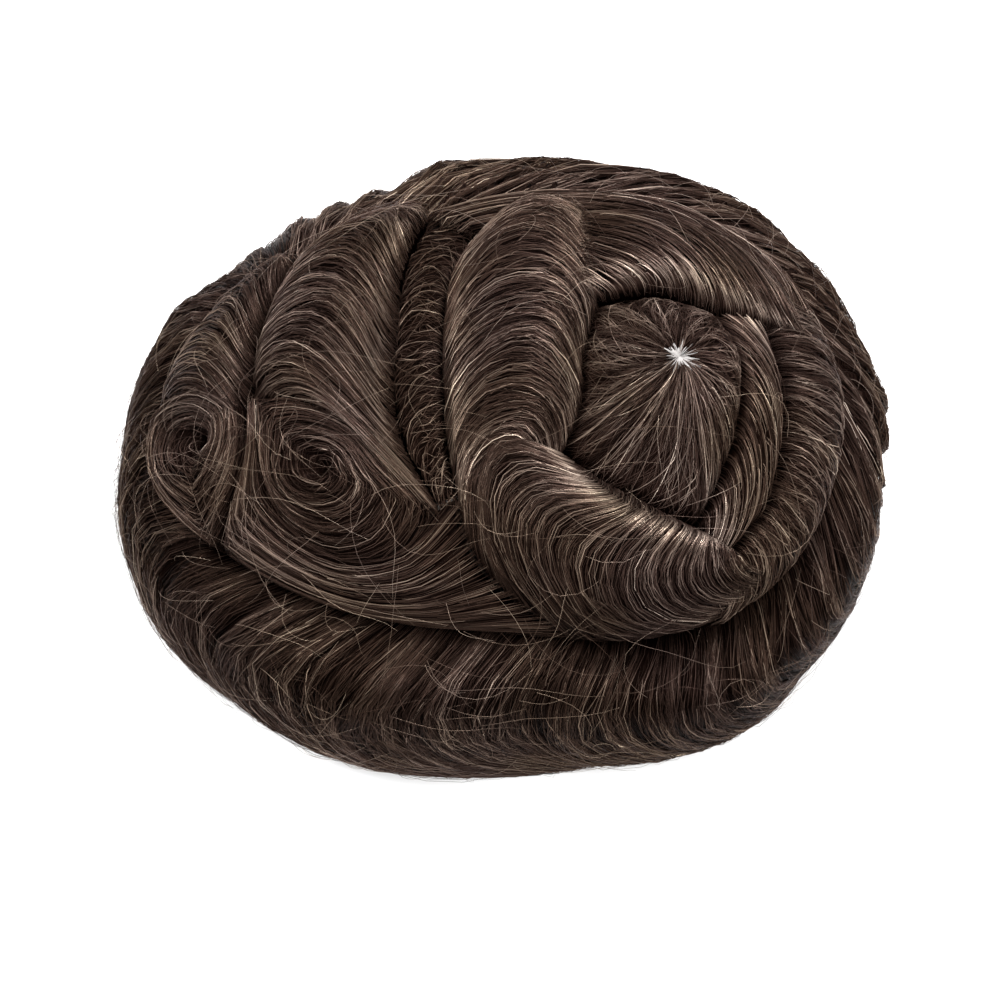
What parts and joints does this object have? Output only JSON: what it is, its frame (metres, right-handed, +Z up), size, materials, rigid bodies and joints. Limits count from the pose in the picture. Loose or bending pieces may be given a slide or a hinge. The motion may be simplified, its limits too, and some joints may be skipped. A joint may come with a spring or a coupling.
{
  "type": "toupee hairpiece",
  "caption": "Toupee on a thin domed skin base, its long wavy hair combed into waves, curls, a crown whorl and a roll along the rim, resting on its rim.",
  "frame": {"origin": "centre of the outline on the plane that the rim rests on", "axes": "+Z up, out of the top of the head; +X from the front hairline to the crown whorl; +Y towards the wearer's right"},
  "size_m": [0.2302, 0.1863, 0.082],
  "materials": {
    "skin_film": "thin semi-clear polyurethane film",
    "hair": "dark brown hair with lighter strands, slightly glossy"
  },
  "bodies": {
    "root": {"skin_base": "skin_film", "first_wave": "hair", "valley_lock": "hair", "second_wave": "hair", "lower_wave": "hair", "back_twist": "hair", "back_roll": "hair", "upper_wave": "hair", "top_layer": "hair", "front_roll": "hair", "front_sweep": "hair", "crown_whorl": "hair", "centre_curl": "hair", "front_curl": "hair", "rim_lock_1": "hair", "rim_lock_2": "hair", "rim_lock_3": "hair", "rim_lock_4": "hair", "rim_lock_5": "hair", "rim_lock_6": "hair", "rim_lock_7": "hair", "rim_lock_8": "hair"}
  },
  "joints": []
}
